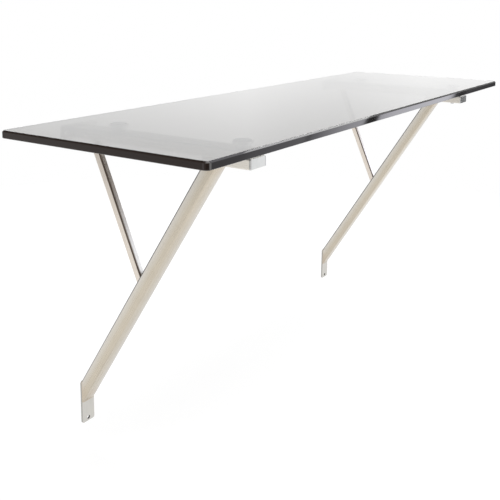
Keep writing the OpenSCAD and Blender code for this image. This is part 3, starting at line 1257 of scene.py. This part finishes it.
@dataclass
class Studio:
    """The pale floor, the softboxes and the white surround with its panels.

    The panels, strips, sweep and ceiling are light levels by azimuth, and the screen by elevation, both in
    degrees. Each span and rim says where its levels take over.
    """

    floor_z: float = -700 * MM
    floor_radius: float = 2.4
    floor_fade: Pairs = ((0.62, 0.0), (0.98, 1.0))
    floor_tone: float = 0.35
    floor_glow: float = 0.685
    floor_roughness: float = 0.9
    speckle_waves: float = 40.0
    speckle_tones: tuple[float, float] = (0.985, 1.0)
    softboxes: tuple[Softbox, ...] = (
        Softbox("overhead_softbox", place=(-0.2, -1.0, 2.2), target=(0.0, -0.25, 0.0), size=2.0, power=26.0),
        Softbox("right_softbox", place=(2.9, -1.2, 1.93), target=(0.0, -1.2, 1.93), size=0.96, power=8.4),
    )
    panels: Pairs = (
        (-180, 0.35), (-168, 0.35), (-150, 0.1), (-116, 0.05), (-104, 0.06), (-90, 0.6), (-80, 2.5),
        (-45, 2.5), (-39, 0.6), (-37.5, 0.5), (-14, 0.5), (2, 0.6), (12, 1.42), (21, 1.48), (26.5, 1.34),
        (30, 1.38), (34, 1.5), (43, 1.37), (50, 1.32), (58, 0.6), (68, 0.25), (112, 0.25), (120, 0.66),
        (129, 0.63), (143, 0.46), (147, 0.66), (150, 1.35), (156, 1.3), (159, 1.05), (163, 1.05),
        (169, 0.35), (180, 0.35),
    )
    strips: Pairs = (
        (-36, 0.5), (-34.2, 0.54), (-33.2, 0.74), (-31.5, 0.8), (-30, 0.92), (-29.35, 0.96), (-29.3, 0.6),
        (-28.95, 0.62), (-28.9, 0.92), (-28.4, 1.05), (-27.9, 1.4), (-26.6, 1.88), (-25.4, 2.2),
        (-25, 2.28), (-24.9, 0.01), (-24.02, 0.01), (-23.92, 2.4), (-23, 2.68), (-20.5, 2.66), (-19.1, 2.6),
        (-18.75, 1.8), (-18.62, 0.05), (-18, 0.08), (-17.8, 0.24), (-16.5, 0.15),
    )
    strip_span: Pairs = ((-40, 0.0), (-37.5, 1.0), (-14, 1.0), (-10, 0.0))
    strip_cast: Colour = (0.99, 0.98, 1.055)
    screen: Pairs = ((2, 1.7), (9, 1.5), (15, 0.4), (30, 0.4))
    screen_span: Pairs = ((-94, 0.0), (-88, 1.0), (-22, 1.0), (-16, 0.0))
    screen_rim: Pairs = ((0, 0.0), (2, 1.0))
    sweep: Pairs = ((110, 1.0), (132, 1.15), (142, 1.3), (152, 1.1))
    sweep_rim: Pairs = ((-14.8, 1.0), (-12.8, 0.0))
    ceiling: Pairs = ((80, 1.4), (95, 0.15), (150, 0.15), (170, 1.4))
    ceiling_rim: Pairs = ((20, 0.0), (30, 1.0))

    def build(self) -> None:
        """Builds the floor, the surround and the softboxes."""
        self._lay_floor()
        self._paint_surround()
        for softbox in self.softboxes:
            softbox.hang()

    def _lay_floor(self) -> None:
        """Lays the floor, a softly glowing disc whose rim fades into the surround."""
        clear_selection()
        bpy.ops.mesh.primitive_circle_add(
            vertices=96, radius=self.floor_radius, fill_type="NGON", location=(0.0, 0.0, self.floor_z)
        )
        floor = settle("studio_floor")
        material, graph = new_material("pale_floor")
        reach = graph.measure("LENGTH", graph.coords(stretch=(1.0, 1.0, 0.0))) / self.floor_radius
        tone = shaded(WHITE, self.floor_tone)
        paint = graph.principled({
            "Base Color": graph.tones(graph.noise(self.speckle_waves), tone, self.speckle_tones),
            "Roughness": self.floor_roughness,
            "Emission Color": WHITE,
            "Emission Strength": self.floor_glow,
        })
        clear = graph.node("BsdfTransparent")[0]
        graph.end(graph.blend(graph.ramp(reach, self.floor_fade, "EASE"), paint, clear))
        dress(floor, material)

    def _paint_surround(self) -> None:
        """Makes the world white to the eye, with panels and gaps between them for the reflections."""
        world = bpy.data.worlds.new("studio")
        world.use_nodes = True
        bpy.context.scene.world = world
        graph = Graph(world.node_tree)
        x, y, z = graph.split(graph.node("TexCoord")[Graph.DIRECTION])
        turn = graph.math("ARCTAN2", y, x) * math.degrees(1.0)
        rise = graph.math("ARCSINE", z) * math.degrees(1.0)
        glow = self._levels(turn, self.panels)
        striped = self._levels(turn, self.strip_span)
        screened = self._levels(turn, self.screen_span) * self._levels(rise, self.screen_rim)
        layers = (
            (striped, self._levels(turn, self.strips)),
            (screened, self._levels(rise, self.screen)),
            (self._levels(rise, self.sweep_rim), self._levels(turn, self.sweep)),
            (self._levels(rise, self.ceiling_rim), self._levels(turn, self.ceiling)),
        )
        for share, level in layers:
            glow = glow * (1 - share) + level * share
        cast = graph.mix(striped, WHITE, self.strip_cast)
        panels = graph.node("Background", {"Color": cast, "Strength": glow})[0]
        white = graph.node("Background", {"Color": WHITE, "Strength": 1.0})[0]
        seen = graph.node("LightPath")[0]
        graph.node("OutputWorld", {"Surface": graph.blend(seen, panels, white)})

    @staticmethod
    def _levels(angle: Value, stops: Pairs) -> Value:
        """Light levels along an angle.

        Args:
            angle: The angle in degrees.
            stops: Pairs of angle and level.

        Returns:
            The level, straight between the stops.
        """
        first, last = stops[0][0], stops[-1][0]
        peak = max(level for _, level in stops)
        places = tuple(((at - first) / (last - first), level / peak) for at, level in stops)
        return angle.graph.ramp((angle - first) / (last - first), places) * peak


@dataclass
class PhotoCamera:
    """The camera at the photograph's place: left of the desk, a little above its top."""

    place: Place = (-1.6754, -1.1687, 0.2856)
    yaw: float = 0.5843
    pitch: float = 0.1837
    roll: float = 0.0103
    focal_px: float = 775.2
    frame_px: float = 500.0
    centre_row: float = 142.0
    sensor: float = 36.0

    def build(self) -> None:
        """Adds the camera and makes it the scene's."""
        lens = bpy.data.cameras.new("photo_camera")
        lens.sensor_width = self.sensor
        lens.lens = self.sensor * self.focal_px / self.frame_px
        lens.shift_y = (self.centre_row - self.frame_px / 2) / self.frame_px
        level = Vector((math.cos(self.yaw), math.sin(self.yaw), 0.0))
        forward = level * math.cos(self.pitch) - UP * math.sin(self.pitch)
        right = level.cross(UP)
        axes = Matrix((right, right.cross(forward), -forward)).transposed()
        rolled = axes @ Matrix.Rotation(self.roll, 3, "Z")
        camera = bpy.data.objects.new("photo_camera", lens)
        camera.matrix_world = Matrix.Translation(self.place) @ rolled.to_4x4()
        bpy.context.scene.collection.objects.link(camera)
        bpy.context.scene.camera = camera


def main() -> None:
    """Builds the desk, the studio and the camera, and logs each piece."""
    logging.basicConfig(level=logging.INFO, format="%(message)s")
    bpy.context.scene.view_settings.view_transform = "Standard"
    PhotoCamera().build()
    Desk(GlassTop(), Bracket(), StandOff()).build()
    Studio().build()


if __name__ == "__main__":
    main()
